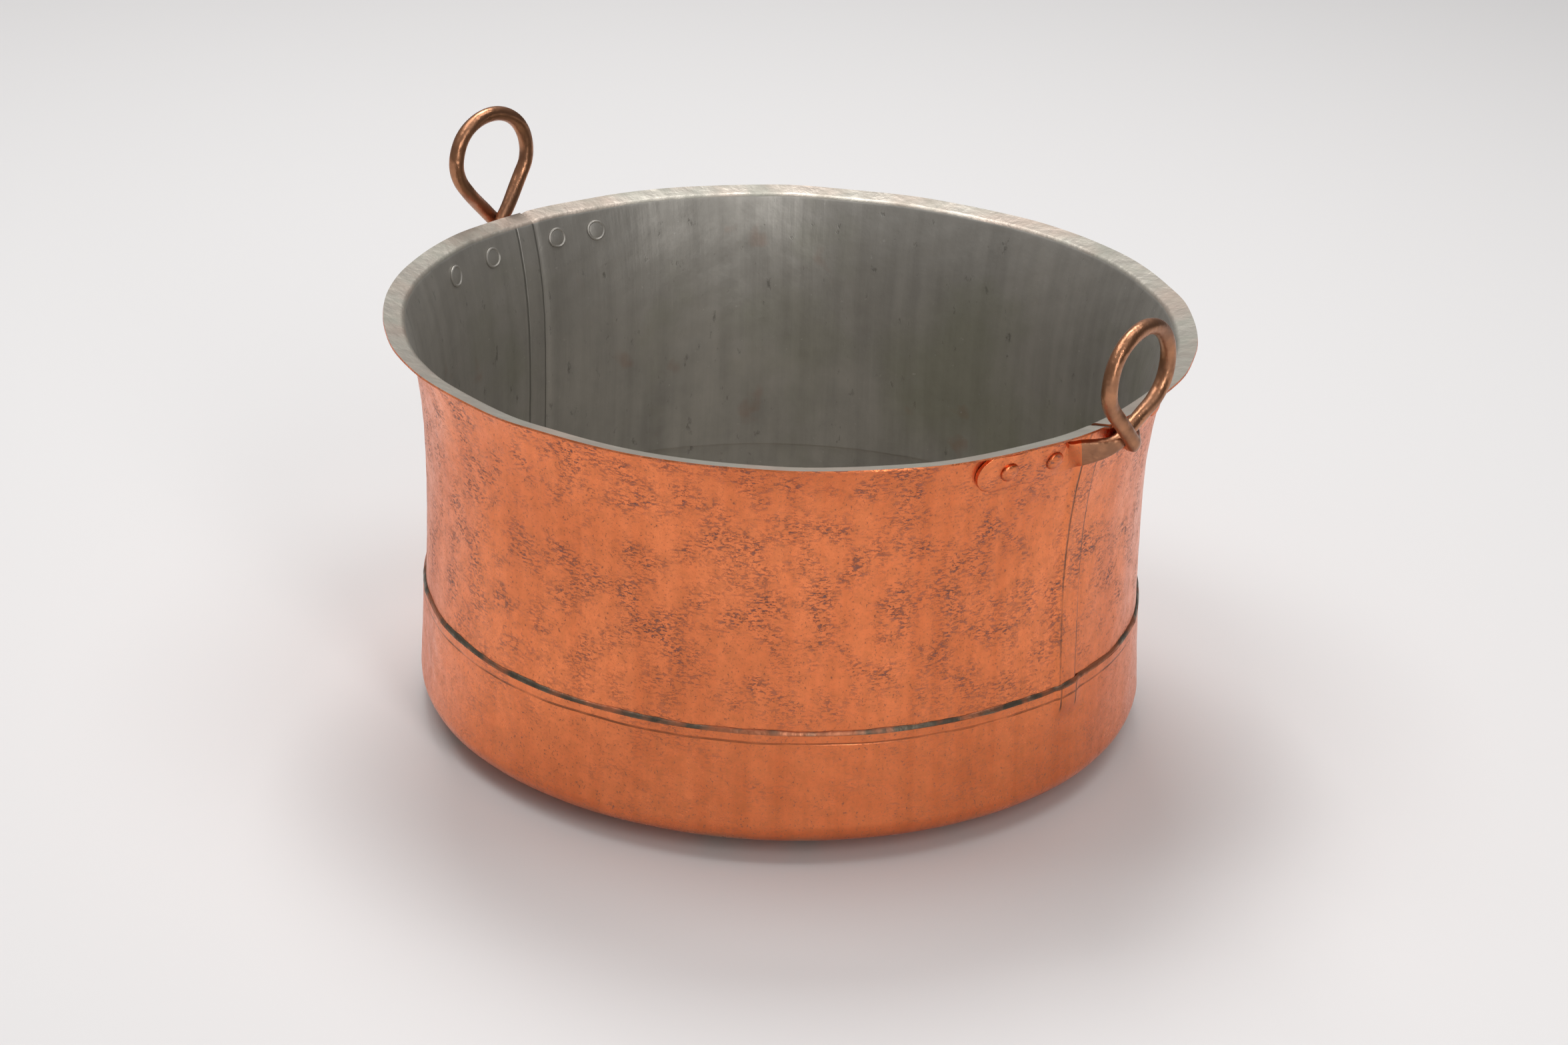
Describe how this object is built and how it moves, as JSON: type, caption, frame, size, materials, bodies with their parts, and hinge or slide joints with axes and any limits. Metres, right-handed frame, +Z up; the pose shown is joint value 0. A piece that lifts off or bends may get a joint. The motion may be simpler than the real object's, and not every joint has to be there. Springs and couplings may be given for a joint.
{
  "type": "copper tub",
  "caption": "Round open copper tub with flared wall, turned-out lip, dished base pan and forged loop handles riveted under the lip.",
  "frame": {"origin": "on the tub's axis, at the level of the surface it stands on", "axes": "+Z up along the axis; +X towards handle_right, so the handles lie on X; the side seams lie on X too"},
  "size_m": [0.5661, 0.53, 0.3535],
  "materials": {
    "copper": "worn copper outside, dull grey tin inside",
    "solder": "dull grey solder",
    "handle_copper": "dark forged copper",
    "rivet_copper": "dark copper and tin"
  },
  "bodies": {
    "root": {"base_pan": "copper", "wall_sheet_back": "copper", "wall_sheet_front": "copper", "base_solder": "solder", "seam_solder_right": "solder", "seam_solder_left": "solder", "handle_right": "handle_copper", "handle_left": "handle_copper", "rivet_right_1": "rivet_copper", "rivet_right_2": "rivet_copper", "rivet_right_3": "rivet_copper", "rivet_right_4": "rivet_copper", "rivet_left_1": "rivet_copper", "rivet_left_2": "rivet_copper", "rivet_left_3": "rivet_copper", "rivet_left_4": "rivet_copper"}
  },
  "joints": []
}
